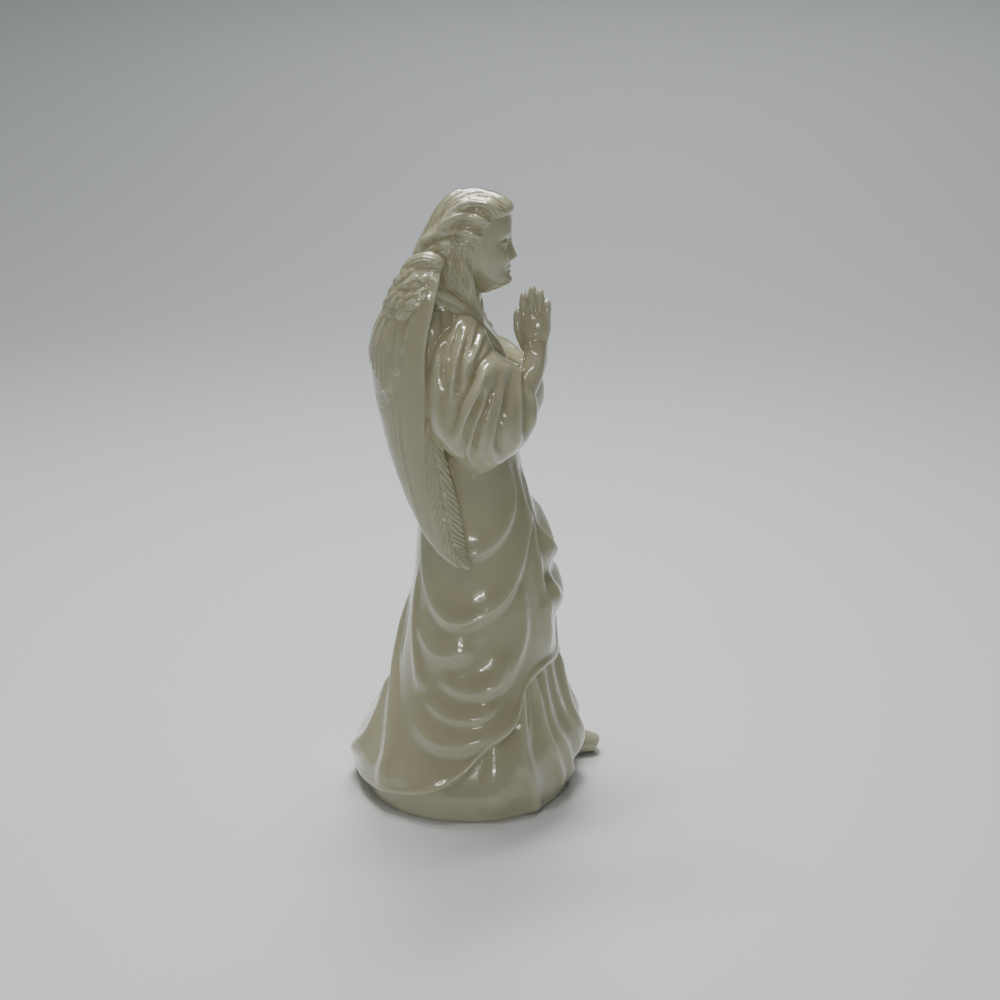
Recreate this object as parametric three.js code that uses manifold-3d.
// A glazed porcelain angel figurine, 240 mm tall, standing in prayer with folded wings.
// It is one cast piece: gown, mantle, sleeves, arms, head, hair and wings are fused before firing.
// Millimetres. The figure faces -Y, its right-hand side is -X, +Z is up, and it stands on z = 0.
// Angles round the gown are degrees from the right-hand side: 90 is the front and -90 the back.
import * as THREE from 'three';
import { mergeVertices } from 'three/addons/utils/BufferGeometryUtils.js';
import Module from 'manifold-3d';

const wasm = await Module();
wasm.setup();

// Driving sizes
const figureHeight = 240;
const neckBase = 186;
const wristHeight = 178;
const palmTop = 194;
const headAxis = -2.5;
const mantleThickness = 1.9;

// Facets
const gownColumns = 46;
const sleeveColumns = 22;
const headColumns = 22;
const hairColumns = 21;
const courseSteps = 12;

// Small maths
const clamp = (value, low = 0, high = 1) => Math.min(high, Math.max(low, value));
const mix = (a, b, t) => a + (b - a) * t;
const radians = (degrees) => (degrees * Math.PI) / 180;
const bell = (x) => Math.exp(-x * x);

function smooth(low, high, value) {
  const t = clamp((value - low) / (high - low));
  return t * t * (3 - 2 * t);
}

// A smooth function through [place, value] knots, held level past both ends
function profile(knots) {
  const slope = knots.map((knot, i) => {
    const before = knots[Math.max(0, i - 1)];
    const after = knots[Math.min(knots.length - 1, i + 1)];
    return (after[1] - before[1]) / (after[0] - before[0]);
  });
  return (place) => {
    let i = 0;
    while (i < knots.length - 2 && place > knots[i + 1][0]) i += 1;
    const [x0, y0] = knots[i];
    const [x1, y1] = knots[i + 1];
    const t = clamp((place - x0) / (x1 - x0));
    const rise = (x1 - x0) * t * (1 - t);
    return y0 * (1 + 2 * t) * (1 - t) ** 2 + y1 * t * t * (3 - 2 * t)
      + slope[i] * rise * (1 - t) - slope[i + 1] * rise * t;
  };
}

// The value at a fractional place in a list
function between(list, place) {
  const i = Math.min(list.length - 2, Math.floor(place));
  return mix(list[i], list[i + 1], place - i);
}

// The reach from an upright axis of a rounded outline with a front, a back and a side
function reach(turn, front, back, side, squareness = 2.2) {
  const lengthwise = Math.sin(turn) > 0 ? front : back;
  const shape = (Math.abs(Math.cos(turn)) / side) ** squareness
    + (Math.abs(Math.sin(turn)) / lengthwise) ** squareness;
  return shape ** (-1 / squareness);
}

// A closed skin over rows of points, each row a closed ring. at(row, column) gives a point and takes
// fractions, so each cell is split along the diagonal that lies closer to the surface at its middle.
function skin(rows, columns, at) {
  const points = [];
  for (let i = 0; i < rows; i += 1) {
    for (let j = 0; j < columns; j += 1) points.push(new THREE.Vector3(...at(i, j)));
  }
  const hub = (row) => points.slice(row * columns, (row + 1) * columns)
    .reduce((sum, p) => sum.add(p), new THREE.Vector3()).divideScalar(columns);
  const firstHub = rows * columns;
  const top = firstHub - columns;
  const hubs = [hub(0), hub(rows - 1)];
  const faces = [];
  for (let j = 0; j < columns; j += 1) {
    const next = (j + 1) % columns;
    for (let i = 0; i + 1 < rows; i += 1) {
      const [a, b] = [i * columns + j, i * columns + next];
      const [c, d] = [b + columns, a + columns];
      const middle = new THREE.Vector3(...at(i + 0.5, j + 0.5));
      const offRising = middle.distanceTo(points[a].clone().lerp(points[c], 0.5));
      const offFalling = middle.distanceTo(points[b].clone().lerp(points[d], 0.5));
      faces.push(...(offRising <= offFalling ? [a, b, c, a, c, d] : [a, b, d, b, c, d]));
    }
    faces.push(firstHub, next, j, firstHub + 1, top + j, top + next);
  }
  const coordinates = [...points, ...hubs].flatMap((p) => p.toArray());
  return new THREE.BufferGeometry()
    .setAttribute('position', new THREE.Float32BufferAttribute(coordinates, 3))
    .setIndex(faces);
}

// A solid from a closed skin, turned right side out if its faces point inwards
function solid(geometry) {
  const bare = new THREE.BufferGeometry()
    .setAttribute('position', geometry.getAttribute('position'))
    .setIndex(geometry.index);
  const merged = mergeVertices(bare, 1e-4);
  const triVerts = new Uint32Array(merged.index.array);
  const vertProperties = new Float32Array(merged.attributes.position.array);
  const made = new wasm.Manifold(new wasm.Mesh({ numProp: 3, vertProperties, triVerts }));
  if (made.volume() > 0) return made;
  triVerts.reverse();
  return new wasm.Manifold(new wasm.Mesh({ numProp: 3, vertProperties, triVerts }));
}

// A rounded bar along a smooth path. A station is [x, y, z, half width, half depth],
// and wide is the direction that the half width is measured along.
function bar(stations, sides, steps, wide = new THREE.Vector3(1, 0, 0)) {
  const path = new THREE.CatmullRomCurve3(stations.map(([x, y, z]) => new THREE.Vector3(x, y, z)));
  const share = (i) => i / (stations.length - 1);
  const halfWidth = profile(stations.map((s, i) => [share(i), s[3]]));
  const halfDepth = profile(stations.map((s, i) => [share(i), s[4] ?? s[3]]));
  return skin(steps + 1, sides, (i, j) => {
    const t = clamp(i / steps);
    const along = path.getTangent(t);
    const depthWay = new THREE.Vector3().crossVectors(along, wide).normalize();
    const widthWay = new THREE.Vector3().crossVectors(depthWay, along).normalize();
    const turn = (2 * Math.PI * j) / sides;
    return path.getPoint(t)
      .addScaledVector(widthWay, halfWidth(t) * Math.cos(turn))
      .addScaledVector(depthWay, halfDepth(t) * Math.sin(turn))
      .toArray();
  });
}

const mirrored = (stations, hand) => stations.map(([x, ...rest]) => [hand * x, ...rest]);

// Folds
// A fold's course runs through points of the unrolled surface. over and under are its spread to the left and
// right of the course, as shares of its width, so a swag can be soft above and steep below.
// A groove is the valley that follows the steep side, as a share of the depth.
function fold({ course, width, depth, over = 1, under = 1, taper = 0.22, groove = 0 }, scale = 1) {
  const curve = new THREE.SplineCurve(course.map(([a, z]) => new THREE.Vector2(a * scale, z)));
  const points = curve.getPoints(courseSteps);
  return (a, z) => {
    const x = a * scale;
    let best = Infinity;
    let side = 0;
    let along = 0;
    for (let i = 0; i + 1 < points.length; i += 1) {
      const p = points[i];
      const dx = points[i + 1].x - p.x;
      const dy = points[i + 1].y - p.y;
      const t = clamp(((x - p.x) * dx + (z - p.y) * dy) / (dx * dx + dy * dy));
      const away = Math.hypot(x - p.x - dx * t, z - p.y - dy * t);
      if (away < best) {
        best = away;
        side = dx * (z - p.y) - dy * (x - p.x);
        along = (i + t) / (points.length - 1);
      }
    }
    const spread = width * (side > 0 ? over : under);
    const ends = smooth(0, taper, along) * smooth(0, taper, 1 - along);
    const valley = side > 0 ? 0 : groove * bell((best - 1.9 * spread) / spread);
    return depth * ends * (bell(best / spread) - valley);
  };
}

// Gown: the mantle's reach from the upright axis at each height
const gownFront = profile([[0, 45], [12, 46], [22, 46], [34, 41], [54, 36], [70, 34.5], [90, 31], [112, 26],
  [130, 21.5], [150, 18.5], [168, 17], [180, 12], [190, 6], [197, 4.5]]);
const gownBack = profile([[0, 45], [8, 47.4], [15, 47.6], [22, 43], [34, 35.5], [55, 28.5], [90, 22],
  [130, 19.5], [165, 19], [182, 18], [190, 13], [197, 10]]);
const gownSide = profile([[0, 51.5], [12, 49], [30, 42.5], [55, 35.5], [90, 30.5], [130, 26.5], [150, 24.5],
  [172, 24], [181, 22.4], [187, 19], [192, 15], [195, 12], [197, 10]]);
const degreeLength = 0.6;

// The mantle's hem: low behind, it rises across the front and falls again from the left hip.
const hemHeight = profile([[-180, 46], [-158, 24], [-138, 10], [-120, 5.5], [-60, 6], [-28, 8.5], [-12, 12],
  [3, 19], [16, 28.5], [31, 35.5], [38, 44], [46, 51], [62, 54], [88, 54], [102, 64], [114, 82], [126, 102],
  [139, 116], [153, 116], [167, 100], [180, 80], [202, 46], [222, 24], [240, 5.5]]);

const swags = [
  { course: [[44, 142], [52, 128], [39, 115], [14, 105], [-16, 109]], width: 3.4, depth: 1.9, over: 1.5,
    under: 0.75 },
  { course: [[66, 142], [74, 122], [53, 104], [30, 86], [0, 77.5], [-20, 84], [-36, 102], [-46, 130]],
    width: 4.2, depth: 3, over: 1.5, under: 0.7, groove: 0.35 },
  { course: [[46, 92], [45, 72], [31, 56], [10, 47]], width: 4, depth: 2.2, over: 1.4, under: 0.8,
    groove: 0.2 },
  { course: [[-46, 96], [-39, 72], [-32, 60], [-24, 48]], width: 2.6, depth: 2.2 },
  { course: [[-40, 78], [-24, 67], [-10, 64], [10, 68]], width: 5, depth: 1.8, over: 1.4, groove: 0.3 },
  { course: [[40, 43], [24, 36], [6, 31], [-12, 31], [-30, 38]], width: 4.6, depth: 2.2, over: 1.2,
    groove: 0.2 },
  { course: [[-34, 18], [-16, 15], [2, 10]], width: 5, depth: 1.3 },
];
const drops = [
  { course: [[80, 124], [70, 105], [68, 90], [69, 72], [74, 58]], width: 2.8, depth: 2 },
  { course: [[138, 116], [114, 104], [93, 98], [76, 105]], width: 6.5, depth: 5.6, under: 1.05 },
  { course: [[124, 90], [104, 82], [87, 79], [70, 86]], width: 6.5, depth: 5.4, under: 1.1 },
  { course: [[-84, 84], [-74, 58], [-58, 46], [-46, 34], [-38, 22], [-37, 5]], width: 3, depth: 2.8,
    taper: 0.15 },
  { course: [[-86, 44], [-68, 30], [-66, 20], [-84, 5]], width: 3.4, depth: 2.2, taper: 0.15 },
];
const gathers = [
  { course: [[60, 60], [58, 40], [59, 30], [64, 19], [74, 2]], width: 2.6, depth: 2.8, taper: 0.12 },
  { course: [[50, 58], [51, 42], [51, 32], [54, 20], [62, 2]], width: 2.2, depth: 2.4, taper: 0.12 },
  { course: [[41, 54], [37, 35], [35, 24], [38, 12], [39, -2]], width: 3.2, depth: 2.6, taper: 0.12 },
  { course: [[23, 34], [20, 18], [19, 2]], width: 4, depth: 1.6 },
  { course: [[92, 60], [86, 40], [84, 24], [90, 8]], width: 4.6, depth: 4, taper: 0.2 },
];
// Long folds of the skirt down the left-hand side, and of the mantle down the back
for (let angle = 110; angle <= 212; angle += 17) {
  const top = hemHeight(angle) + 4;
  gathers.push({ course: [[angle - 4, top], [angle, top / 2], [angle + 5, -4]], width: 3.6, depth: 3,
    taper: 0.12 });
}
for (let angle = -112; angle >= -172; angle -= 20) {
  drops.push({ course: [[angle * 0.92 - 10, 120], [angle, 60], [angle - 3, -4]], width: 4.4, depth: 2.4 });
}

const mantleFolds = [...swags, ...drops].map((f) => fold(f, degreeLength));
const skirtFolds = gathers.map((f) => fold(f, degreeLength));
const allRound = (folds, a, z) => folds.reduce((sum, f) => sum + f(a, z) + f(a - 360, z) + f(a + 360, z), 0);

function gownRadius(a, z) {
  const above = z - hemHeight(a);
  const worn = smooth(-0.8, 0.8, above);
  const rim = 0.8 * bell((above - 1.6) / 1.8) * smooth(136, 120, z);
  const mantle = allRound(mantleFolds, a, z) * smooth(150, 128, z) + rim;
  const skirt = allRound(skirtFolds, a, z) - mantleThickness;
  return reach(radians(a), gownFront(z), gownBack(z), gownSide(z)) + mix(skirt, mantle, worn);
}

function gown() {
  const heights = [0, 4.5, 9, 13.5, 18, 22.5, 27, 31.5, 36, 40.5, 45, 49.5, 54, 59, 64, 69, 74, 79, 84,
    89, 94, 99, 105, 112, 122, 136, 155, 172, 182, 189, 197];
  const hemReach = 4.4;
  const crowding = 20;
  return skin(heights.length, gownColumns, (i, j) => {
    // Columns crowd towards the right front, and rows close in on both sides of the mantle's hem.
    const even = (2 * Math.PI * j) / gownColumns;
    const turn = 30 + (360 * j) / gownColumns - crowding * Math.sin(even);
    const a = turn > 240 ? turn - 360 : turn;
    const plain = between(heights, i);
    const away = Math.abs(plain - hemHeight(a));
    const near = 0.9 + (hemReach - 0.9) * (away / hemReach) ** 3;
    const isMoved = away < hemReach && i > 0;
    const z = isMoved ? Math.max(0.2 * i, hemHeight(a) + Math.sign(plain - hemHeight(a)) * near) : plain;
    const r = gownRadius(a, z);
    return [-r * Math.cos(radians(a)), -r * Math.sin(radians(a)), z];
  });
}

// Sleeves: a deep bag that hangs from the shoulder and from the raised forearm
const sleeveBack = profile([[136.4, -6], [141, 0], [146, 6], [152, 10.5], [160, 12.5], [180, 12.5], [190, 9],
  [195, 3]]);
const sleeveFront = profile([[136.4, -9.5], [141, -17.5], [146, -23.5], [153, -27.5], [162, -28],
  [169, -25.5], [175, -21.5], [180, -14.5], [184, -11.5], [189, -9], [195, -4]]);
const sleeveOutside = profile([[137, 27], [141, 32.5], [147, 36], [156, 37.8], [168, 36.5], [178, 33],
  [186, 28], [191, 22.5], [195, 17]]);
const sleeveInside = profile([[137, 22], [145, 18], [160, 12], [178, 9], [190, 10], [195, 15]]);
const upperPleats = 4;
const lowerPleats = 6;

const pleats = [];
for (let i = 0; i < upperPleats; i += 1) {
  const t = i / (upperPleats - 1);
  pleats.push({
    course: [[mix(-1, -8, t), mix(193, 189, t)], [mix(3, -6.5, t), mix(182, 184, t)],
      [mix(5.5, 0, t), mix(166, 171, t)]],
    width: 1.8, depth: 1.8, under: 0.8,
  });
}
for (let i = 0; i < lowerPleats; i += 1) {
  const t = i / (lowerPleats - 1);
  pleats.push({
    course: [[mix(-9, -25, t), mix(182, 172, t)], [mix(-7, -26.5, t), mix(170, 164, t)],
      [mix(-2, -26.5, t), 156], [mix(0.5, -24, t), 148], [mix(-5, -17, t), 140]],
    width: 2, depth: 2.4, over: 1.15, under: 0.8, taper: 0.12,
  });
}
const sleeveFolds = pleats.map((f) => fold(f));

function sleeve(hand) {
  const heights = [136.6, 139.5, 143.5, 148, 153, 158, 163, 168, 172.5, 176.5, 180, 183.5, 187, 190.5,
    193, 194.6];
  return skin(heights.length, sleeveColumns, (i, j) => {
    const z = between(heights, i);
    // Columns crowd towards the outer side.
    const even = (2 * Math.PI * j) / sleeveColumns;
    const turn = even - 0.45 * Math.sin(even);
    const outwards = Math.cos(turn);
    const y = mix(sleeveFront(z), sleeveBack(z), 0.5 + 0.5 * Math.sin(turn));
    const x = mix(sleeveInside(z), sleeveOutside(z), 0.5 + 0.5 * outwards);
    const relief = sleeveFolds.reduce((sum, f) => sum + f(y, z), 0) * smooth(-0.5, 0.3, outwards);
    const inwards = 9 * smooth(-8, -28, y);
    return [hand * (x + relief * Math.max(0.35, outwards) - inwards), y + relief * 0.5 * Math.sin(turn), z];
  });
}

// Arms and hands, palm to palm
const armStations = [[24, -8, 146, 6.2, 6.2], [18, -17, 158, 5.8, 5.8], [10.5, -24.5, 170, 4.9, 5],
  [5.4, -26.3, wristHeight, 3.5, 4.3], [3.2, -26.2, wristHeight + 5, 3, 4.8]];
const arm = (hand) => bar(mirrored(armStations, hand), 9, 7);

// Each finger: its place from the thumb side outwards, its tip's height and its lean
const fingers = [
  { y: -21.8, tip: 201.2, lean: 0.2 },
  { y: -24.8, tip: 203.6, lean: 0 },
  { y: -27.7, tip: 202.2, lean: -0.1 },
  { y: -30.3, tip: 198.2, lean: -0.2 },
];

function handPieces(hand) {
  const x = 2.5;
  const y = -26.2;
  const palm = [[x * 1.1, y, wristHeight + 1, 2.7, 4.4],
    [x * 1.15, y, mix(wristHeight, palmTop, 0.5), 2.9, 5.6],
    [x * 0.95, y, palmTop, 2.3, 5.7],
    [x * 0.8, y, palmTop + 2, 1.6, 4.8]];
  const thumb = [[x * 1.1, y + 4.2, palmTop - 9, 1.9], [x, y + 6.5, palmTop - 4.5, 1.75],
    [x * 0.9, y + 6.9, palmTop + 0.8, 1.5], [x * 0.85, y + 6.7, palmTop + 2.4, 0.8]];
  const straight = fingers.map((f) => [[x * 0.9, f.y, palmTop - 3, 1.6],
    [x * 0.86, f.y + f.lean, mix(palmTop - 3, f.tip, 0.45), 1.62],
    [x * 0.72, f.y + f.lean * 1.6, f.tip - 1.2, 1.35], [x * 0.7, f.y + f.lean * 1.7, f.tip, 0.7]]);
  return [bar(mirrored(palm, hand), 8, 3), bar(mirrored(thumb, hand), 6, 3),
    ...straight.map((stations) => bar(mirrored(stations, hand), 5, 3))];
}

// Head: reach of the face and skull from their upright axis
const faceFront = profile([[201, 6], [203.6, 12.2], [206.5, 13.8], [209.3, 13.3], [213.5, 13.9],
  [220.5, 13.6], [225, 14.6], [231, 14], [235, 11], [238, 5]]);
const skullBack = profile([[201, 3], [208, 8], [214, 12], [222, 15], [230, 14.6], [235, 11.2], [238, 5]]);
const headSide = profile([[201, 3.6], [203.6, 5.4], [206.5, 7.6], [211, 10], [216, 11.5], [224, 12.2],
  [231, 11.4], [235, 8.6], [238, 4]]);
const noseOut = profile([[212.4, 0], [213.4, 2], [214.6, 2.9], [217, 2], [220.5, 0.8], [223.5, 0.2]]);
const noseHalf = profile([[212.4, 1.9], [214.6, 1.7], [217, 1.3], [222, 1.5]]);

function faceRelief(x, z) {
  const away = Math.abs(x);
  const nose = noseOut(z) * bell(x / noseHalf(z)) * smooth(212, 213, z) * smooth(225, 221, z);
  const socket = -1.5 * bell((away - 4.6) / 2.8) * bell((z - 220.4) / 2);
  const lid = 1.2 * bell((away - 4.6) / 1.9) * bell((z - 219.9) / 1.2);
  const brow = 0.5 * bell((away - 4.4) / 3.4) * bell((z - 223.6) / 1.2);
  const lips = 0.8 * bell(x / 2.6) * bell((z - 210.3) / 1.1);
  const chin = 0.7 * bell(x / 2.6) * bell((z - 205.9) / 1.5);
  return nose + socket + lid + brow + lips + chin;
}

function head() {
  const heights = [201, 203.4, 205.2, 207, 209, 210.3, 211.6, 213, 214.3, 216, 218.4, 219.9, 221.5, 224,
    228, 233, 237];
  return skin(heights.length, headColumns, (i, j) => {
    // Columns crowd towards the face.
    const even = (2 * Math.PI * j) / headColumns;
    const turn = Math.PI / 2 + even - 0.6 * Math.sin(even);
    const z = between(heights, i);
    const r = reach(turn, faceFront(z), skullBack(z), headSide(z));
    const x = -r * Math.cos(turn);
    return [x, headAxis - r * Math.sin(turn) - faceRelief(x, z) * smooth(0.2, 0.6, Math.sin(turn)), z];
  });
}

const neck = () => bar([[0, 6, neckBase - 8, 9, 8], [0, 3.6, 194, 7.4, 7.6], [0, 2.2, 201, 7.2, 7.8],
  [0, 1.5, 207, 7.6, 8]], 12, 4);

// Hair: one mass parted in the middle, swept back in three waves over each ear and falling between the wings.
// Its folds are laid out on the side view, as [y, z].
const hairFront = profile([[176, 2], [190, 4], [196, 4], [203, 1.6], [208, 0.4], [214, 0.8], [218, 3.8],
  [222, 6.8], [226, 9.4], [229, 12.4], [232, 15.2], [234.5, 14.6], [236.8, 12], [238.8, 7.6], [239.7, 4],
  [240, 2]]);
const hairBack = profile([[176, 23.5], [196, 24], [208, 24.4], [216, 22.4], [222, 19.4], [228, 16.2],
  [233, 13.4], [236.5, 11], [238.8, 8], [239.7, 4.6], [240, 2]]);
const hairSide = profile([[176, 5], [188, 8], [194, 11], [200, 12], [214, 12.6], [222, 13.4], [229, 13.2],
  [234, 11.2], [237, 8.6], [239, 5], [239.7, 3], [240, 1.5]]);
const waves = [
  [[-15, 231], [-9, 235.5], [-4, 236.5], [0.5, 235], [4, 232.3], [7.5, 228.3], [11, 224.5], [15, 221]],
  [[-11.5, 227.5], [-5.5, 230.6], [-0.5, 231.4], [3, 230.4], [6, 227.8], [9, 224], [13, 221.4]],
  [[-8.5, 222.5], [-3, 225], [2, 225.6], [6, 225], [9.5, 223.4], [13.5, 221], [17, 218]],
];
const locks = [
  [[-0.5, 219], [-1, 211.5], [-1.8, 207], [-4.2, 202.5], [-6.5, 196]],
  [[4.8, 217], [3, 210.5], [0, 204.6], [-3, 199.5], [-5, 194]],
  [[10, 215], [8, 208.5], [5, 203], [1.4, 198.4], [-1, 194]],
];
const hairFolds = [
  ...waves.map((course) => fold({ course, width: 1.9, depth: 1.6, over: 0.8, under: 1.3, taper: 0.2,
    groove: 0.5 })),
  ...locks.map((course) => fold({ course, width: 1.3, depth: 1.5, taper: 0.15 })),
];
const tressCount = 10;

function hair() {
  const heights = [176, 187, 195, 199, 203, 207, 211, 215, 218, 221, 224, 226.5, 229, 231.5, 234,
    236.5, 238.6, 239.6, 240];
  return skin(heights.length, hairColumns, (i, j) => {
    const z = between(heights, i);
    const turn = (2 * Math.PI * j) / hairColumns;
    const r = reach(turn, hairFront(z), hairBack(z), hairSide(z));
    const y = headAxis - r * Math.sin(turn);
    const sideways = smooth(0.1, 0.5, Math.abs(Math.cos(turn))) * smooth(239, 236, z);
    const backwards = smooth(0.3, 0.9, -Math.sin(turn)) * smooth(238, 230, z);
    const tresses = 0.9 * Math.cos(tressCount * turn) * backwards;
    const forwards = smooth(-0.2, 0.3, Math.sin(turn)) * smooth(240, 236, z);
    const parting = 1.2 * bell((r * Math.cos(turn)) / 1.8) * forwards;
    const grown = r + hairFolds.reduce((sum, f) => sum + f(y, z), 0) * sideways + tresses - parting;
    return [-grown * Math.cos(turn), headAxis - grown * Math.sin(turn), z];
  });
}

// Wings: the outer face lies between a leading and a trailing edge and bulges outwards.
const curveThrough = (points) => new THREE.CatmullRomCurve3(points.map((p) => new THREE.Vector3(...p)));
const leadingEdge = curveThrough([[16.5, 7, 213.5], [22.5, 7.4, 207], [26, 9.2, 197.5], [27.6, 11.8, 183],
  [28.2, 12, 168], [28.8, 12.3, 151], [29.8, 11.6, 135.5], [31.2, 9, 120], [32.4, 5, 108],
  [33.2, -1.5, 100.5]]);
const trailingEdge = curveThrough([[13, 20, 214], [9.5, 26, 206], [7.5, 30.5, 197], [7, 34.5, 186],
  [7, 36.5, 175], [7.5, 35, 163], [9, 31, 149], [12.5, 25.5, 134], [19, 17.8, 119.5], [27, 9.5, 108],
  [32.4, 0.5, 100.6]]);
const wingBulge = profile([[0, 3.4], [0.2, 6], [0.6, 5.5], [0.85, 2.6], [1, 1]]);
const wingRoot = profile([[0, 9], [0.15, 8], [0.35, 8], [0.6, 9], [1, 20]]);
const trailingThickness = 1.8;

// A point of the wing's outer face: s runs from the top to the tip, and u from the leading edge backwards.
function wingFace(s, u) {
  const lead = leadingEdge.getPoint(clamp(s));
  const chord = trailingEdge.getPoint(clamp(s)).sub(lead);
  const along = leadingEdge.getTangent(clamp(s)).add(trailingEdge.getTangent(clamp(s))).normalize();
  const normal = new THREE.Vector3().crossVectors(along, chord).normalize();
  const bulge = 4 * wingBulge(s) * Math.max(0, u) * (1 - u);
  return { point: lead.addScaledVector(chord, u).addScaledVector(normal, bulge), along, normal };
}

// Rows of the wing's skin, as [s, lift, scallop]. Each row of small feathers ends in a pair of rows:
// the lifted tips, and the start of the feathers below them.
const covertEnds = [0.13, 0.28, 0.45];
const wingRows = [[0, 0, 0], [0.04, 0.2, 0]];
for (const end of covertEnds) {
  wingRows.push([end - 0.006, 1.5, 0.022], [end + 0.006, 0.1, 0.022]);
}
wingRows.push(...[0.57, 0.68, 0.77, 0.86, 0.94, 1].map((s) => [s, 0.3, 0]));
const bandEnd = 0.17;
const featherCount = 5;
const outerShares = [0, bandEnd / 2, bandEnd, bandEnd + 0.03];
for (let i = 1; i <= 2 * featherCount; i += 1) {
  outerShares.push(mix(bandEnd + 0.03, 1, i / (2 * featherCount)));
}
const innerColumns = 3;

// The skin has a smooth raised band along the leading edge, scalloped coverts and ribbed flight feathers.
function wing(hand) {
  const outerLast = outerShares.length - 1;
  return skin(wingRows.length, outerLast + innerColumns, (i, j) => {
    const [s, lift, scallop] = [0, 1, 2].map((k) => between(wingRows.map((row) => row[k]), i));
    if (j <= outerLast) {
      const isFeather = j > 3;
      const isRib = Math.floor(j) % 2 === 0;
      const stagger = Math.floor((i - 2) / 2) % 2 === 0;
      const down = isFeather && isRib === stagger && j < outerLast ? scallop : 0;
      const rib = s > 0.5 ? (isRib ? 1.2 : -0.6) * smooth(1.02, 0.8, s) : lift;
      const { point, normal } = wingFace(s + down, between(outerShares, j));
      const band = 1.3 * (j < 3 ? Math.sin((Math.PI * (j + 0.6)) / 3) : -0.2);
      point.addScaledVector(normal, isFeather ? rib : band * smooth(1.1, 0.7, s));
      return [hand * point.x, point.y, point.z];
    }
    const lead = wingFace(s, 0).point;
    const trail = wingFace(s, 1);
    const behind = trail.point.clone().addScaledVector(trail.normal, -trailingThickness);
    const root = new THREE.Vector3(wingRoot(s), mix(lead.y, behind.y, 0.35) + 1, (lead.z + behind.z) / 2);
    const inner = [behind, root, lead][Math.ceil(j) - outerLast - 1];
    return [hand * inner.x, inner.y, inner.z];
  });
}

// The rounded shoulder that the wing hangs from
const wingShoulder = (hand) => bar(mirrored([[16.8, 6.4, 212, 2.6, 2.4], [16.6, 9, 214, 4.8, 4.6],
  [15.4, 13, 214.4, 5.2, 4.8], [13.6, 18, 212, 4.8, 4.2], [11.5, 23, 207.5, 3.6, 3]], hand), 6, 4);

// A long barbed vane lies between the wing's leading edge and the gown.
const vaneStations = [[20, 12.4, 190, 3, 2], [22.6, 12.2, 172, 3, 2.2], [25.4, 11.6, 155, 3, 2.6],
  [27, 9.6, 143.5, 4, 2.6], [28.2, 7.4, 132, 5, 2.8], [29.2, 5.4, 121, 5.8, 2.8], [30, 3.4, 112, 5.4, 2.4],
  [30.8, 0.2, 105.5, 3.8, 1.8], [31.8, -4.6, 99.8, 1, 0.8]];
const vane = (hand) => bar(mirrored(vaneStations, hand), 6, 7, new THREE.Vector3(hand * 0.25, 1, 0.1));

// The rolled collar, from behind the neck down to the breast
const collarStations = [[0, 14, 198.6, 3.2, 2.2], [9.6, 10, 197.6, 4, 2.4], [14.2, 2.6, 193.4, 4.2, 2.4],
  [11.6, -5.4, 188, 3.4, 2.2], [6, -12, 179.8, 2.4, 1.9], [1, -16.2, 172.4, 1.6, 1.4]];
const collar = (hand) => bar(mirrored(collarStations, hand), 6, 6, new THREE.Vector3(hand * 0.75, 0, -0.66));

// The left shoe's tip under the skirt
const shoe = () => bar([[16, -36, 5, 6.5, 5], [17, -44, 5, 6.2, 5.2], [18, -51, 4.2, 4.6, 4],
  [18.2, -53.4, 3.6, 2.2, 2]], 10, 4);

function angelSolid() {
  const pieces = [gown(), neck(), shoe(), head(), hair()];
  for (const hand of [-1, 1]) {
    pieces.push(sleeve(hand), arm(hand), ...handPieces(hand), collar(hand));
    pieces.push(wing(hand), wingShoulder(hand), vane(hand));
  }
  const whole = pieces.map(solid).reduce((sum, piece) => sum.add(piece));
  const underFloor = new THREE.BoxGeometry(figureHeight, figureHeight, neckBase);
  underFloor.translate(0, 0, -neckBase / 2);
  return whole.subtract(solid(underFloor));
}

function meshOf(shape) {
  const { vertProperties, triVerts } = shape.getMesh();
  const geometry = new THREE.BufferGeometry()
    .setAttribute('position', new THREE.BufferAttribute(vertProperties, 3))
    .setIndex(new THREE.BufferAttribute(triVerts, 1));
  geometry.computeVertexNormals();
  return geometry;
}

const glazedPorcelain = new THREE.MeshStandardMaterial({ color: 0xd9d4bf, roughness: 0.12, metalness: 0 });
const figurine = new THREE.Mesh(meshOf(angelSolid()), glazedPorcelain);
figurine.name = 'angel_figurine';

const part = new THREE.Group();
part.add(figurine);
export default part;
